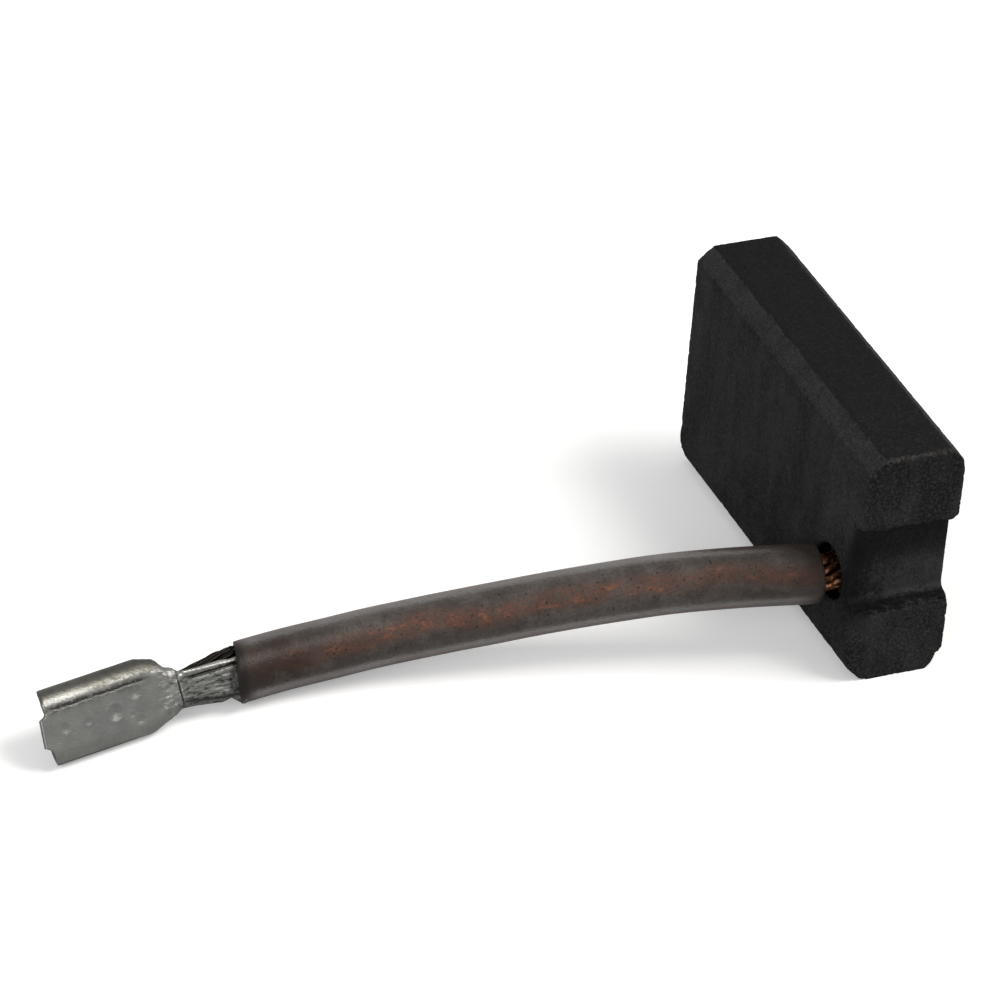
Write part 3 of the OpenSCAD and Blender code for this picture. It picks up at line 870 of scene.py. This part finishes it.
# Takes the sharpness off the cut edges.
BLUNT = 0.16                        # the share of the thickness that each side gives up
rim_pts = sorted({a for e in rim for a in e})
through = inner_pts[rim_pts] - outer_pts[rim_pts]
outer_pts[rim_pts] += through * BLUNT
inner_pts[rim_pts] -= through * BLUNT
faces = [tuple(reversed(f)) for f in cells]
faces += [tuple(q + N_PTS for q in f) for f in cells]
faces += [(a, b, b + N_PTS, a + N_PTS) for a, b in rim]
terminal = make_piece("terminal_sheet", np.concatenate([outer_pts, inner_pts]), faces, TINNED)
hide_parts("terminal")


# ---------------------------------------------------------------- graphite block
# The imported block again, as a dense skin with rubbed arrises, chips and pores.

VOXEL = 0.097
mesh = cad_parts["brush_block"].data.copy()
mesh.transform(Matrix.Scale(1000.0, 4))
bm = bmesh.new()
bm.from_mesh(mesh)
bmesh.ops.remove_doubles(bm, verts=bm.verts, dist=0.0005)
bm.to_mesh(mesh)
bm.free()
work = bpy.data.objects.new("work", mesh)
scene.collection.objects.link(work)
remesh = work.modifiers.new("skin", "REMESH")
remesh.mode = "VOXEL"
remesh.voxel_size = VOXEL
remesh.adaptivity = 0.0
graph = bpy.context.evaluated_depsgraph_get()
skin = bpy.data.meshes.new_from_object(work.evaluated_get(graph))
bpy.data.objects.remove(work)


def per_vertex(mesh, what):
    values = np.empty(len(mesh.vertices) * 3)
    mesh.vertices.foreach_get(what, values)
    return values.reshape(-1, 3)


co, nor = per_vertex(skin, "co"), per_vertex(skin, "normal")
X, Y, Z = co.T
planes = np.stack([                 # how far each of the block's planes is, inwards
    HALF_T - np.abs(X),
    HALF_L - np.abs(Y),
    np.minimum(Z, WIDTH - Z),
    (HALF_T + WIDTH / 2 - CH - np.abs(X) - np.abs(Z - WIDTH / 2)) / math.sqrt(2),
], axis=0)
arris = np.sort(planes, axis=0)[1]  # the second nearest: how far the nearest edge is
# The lips of the groove and the mouth of the pit are edges as well.
FAR = 9.0
lip_z = np.abs(np.abs(Z - WIDTH / 2) - GROOVE_HALF)
lip = np.where(Y < -HALF_L + 1.0, np.hypot(lip_z, np.maximum(0, Y + HALF_L)), FAR)
mouth_r = np.hypot(Y - PIT_Y, Z - PIT_Z) - PIT_R
mouth = np.where(X < -1.7, np.hypot(mouth_r, np.maximum(0, X + HALF_T)), FAR)
edge = np.minimum(np.minimum(arris, lip), mouth)
coarse = field(co, 1.5, seed=3.0)
chip = field(co, 3.6, seed=8.0)
grain = field(co, 7.5, seed=1.0, octaves=2)
depth = 0.006 * grain + 0.010 * coarse
depth += 0.018 * smooth(0.20, 0.0, edge) - 0.012
depth += 0.13 * smooth(0.26, 0.02, edge) * np.clip(chip - 0.16, 0, 1)
crumbled = np.clip(coarse * 0.8 + chip * 0.5 + 0.05, 0, 1)
depth += np.where(Z < 6, 0.26, 0.15) * smooth(0.55, 0.05, lip) * crumbled
# Single chips: the centre, radius and depth of each.
CHIPS = [
    (2.5, -10.0, 8.25, 0.55, 0.22), (2.5, -9.6, 8.5, 0.40, 0.15),
    (-2.45, -9.9, 8.5, 0.45, 0.16), (-1.9, -9.9, 8.45, 0.35, 0.12),
    (-1.2, -9.9, 8.5, 0.30, 0.09), (-2.4, -9.95, 4.1, 0.42, 0.14),
    (-1.3, -9.7, 4.15, 0.36, 0.16), (-0.3, -9.9, 4.1, 0.3, 0.08),
    (1.6, -10.0, 2.4, 0.22, 0.12), (2.5, -10.0, 4.0, 0.5, 0.14),
    (2.4, -10.0, 0.6, 0.6, 0.14), (-2.3, -10.0, 11.9, 0.4, 0.07),
    (1.2, -10.0, 12.5, 0.25, 0.06), (-0.8, -10.0, 12.5, 0.2, 0.05),
    (2.5, -10.0, 11.6, 0.4, 0.08), (-2.5, 4.2, 0.9, 0.35, 0.06),
    (-2.5, 9.8, 2.2, 0.5, 0.06), (-2.5, 9.9, 0.8, 0.7, 0.16),
    (2.5, 2.0, 11.8, 0.3, 0.05), (2.5, -4.4, 11.7, 0.3, 0.05),
]
for cx, cy, cz, cr, cd in CHIPS:
    r = np.linalg.norm(co - np.array([cx, cy, cz]), axis=1) / cr
    depth += cd * np.clip(1 - r * r, 0, 1) ** 2 * (1 + 0.5 * chip)
co -= nor * depth[:, None]
co[:, 2] = np.maximum(co[:, 2], 0.0)
skin.vertices.foreach_set("co", (co * MM).ravel())
skin.update()
skin.shade_smooth()
skin.materials.clear()
skin.materials.append(GRAPHITE)
block = bpy.data.objects.new("graphite_block", skin)
scene.collection.objects.link(block)
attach(block, "root")
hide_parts("brush_block")

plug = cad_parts["tamping_plug"]
plug.data.materials.clear()
plug.data.materials.append(TAMPED)


# ---------------------------------------------------------------- floor and light

FLOOR_SEEN, FLOOR_BOUNCE, FLOOR_GLOW = 0.86, 0.45, 0.22
WORLD_SEEN, WORLD_LIGHT = 1.0, 0.50
AIM = Vector((-0.016, -0.002, 0.004))       # what the lamps face

floor_mesh = bpy.data.meshes.new("floor")
floor_mesh.from_pydata([(-3, -3, 0), (3, -3, 0), (3, 3, 0), (-3, 3, 0)], [], [(0, 1, 2, 3)])
floor = bpy.data.objects.new("floor", floor_mesh)
scene.collection.objects.link(floor)
fm = bpy.data.materials.new("floor")
fm.use_nodes = True
nodes, links = fm.node_tree.nodes, fm.node_tree.links
nodes.clear()
out = nodes.new("ShaderNodeOutputMaterial")
white = nodes.new("ShaderNodeBsdfDiffuse")
# Pale to the camera; what it throws back on the object is kept lower.
tone = nodes.new("ShaderNodeMix")
tone.data_type = "RGBA"
ends = [q for q in tone.inputs if q.type == "RGBA"]
ends[0].default_value = (FLOOR_BOUNCE,) * 3 + (1,)
ends[1].default_value = (FLOOR_SEEN,) * 3 + (1,)
seen = nodes.new("ShaderNodeLightPath").outputs["Is Camera Ray"]
links.new(seen, tone.inputs["Factor"])
links.new([q for q in tone.outputs if q.type == "RGBA"][0], white.inputs["Color"])
glow = nodes.new("ShaderNodeEmission")
glow.inputs["Color"].default_value = (1, 1, 1, 1)
level = nodes.new("ShaderNodeMath")
level.operation = "MULTIPLY"
level.inputs[1].default_value = FLOOR_GLOW
links.new(seen, level.inputs[0])
links.new(level.outputs[0], glow.inputs["Strength"])
add = nodes.new("ShaderNodeAddShader")
links.new(white.outputs[0], add.inputs[0])
links.new(glow.outputs[0], add.inputs[1])
links.new(add.outputs[0], out.inputs["Surface"])
floor_mesh.materials.append(fm)

world = bpy.data.worlds.new("studio")
scene.world = world
world.use_nodes = True
nodes, links = world.node_tree.nodes, world.node_tree.links
nodes.clear()
out = nodes.new("ShaderNodeOutputWorld")
bg = nodes.new("ShaderNodeBackground")
bg.inputs["Color"].default_value = (1, 1, 1, 1)
seen = nodes.new("ShaderNodeLightPath").outputs["Is Camera Ray"]
# White where the camera looks, and a plain grey level for what lights the object.
level = nodes.new("ShaderNodeMapRange")
level.inputs["To Min"].default_value = WORLD_LIGHT
level.inputs["To Max"].default_value = WORLD_SEEN
links.new(seen, level.inputs["Value"])
links.new(level.outputs["Result"], bg.inputs["Strength"])
links.new(bg.outputs[0], out.inputs["Surface"])


def softbox(name, direction, distance, size, power, colour=(1, 1, 1)):
    """A rectangular lamp that faces the object from this direction."""
    data = bpy.data.lights.new(name, "AREA")
    data.shape = "RECTANGLE"
    data.size, data.size_y = size
    data.energy = power
    data.color = colour
    obj = bpy.data.objects.new(name, data)
    scene.collection.objects.link(obj)
    d = Vector(direction).normalized()
    obj.location = AIM + d * distance
    obj.rotation_euler = (-d).to_track_quat("-Z", "Y").to_euler()


softbox("key", direction=(0.50, -0.24, 0.83), distance=0.6, size=(0.30, 0.30),
        power=2.6, colour=(1.0, 0.98, 0.93))
softbox("fill", direction=(-0.75, -0.55, 0.45), distance=0.7, size=(0.4, 0.3), power=2.2)

scene.view_settings.view_transform = "Standard"
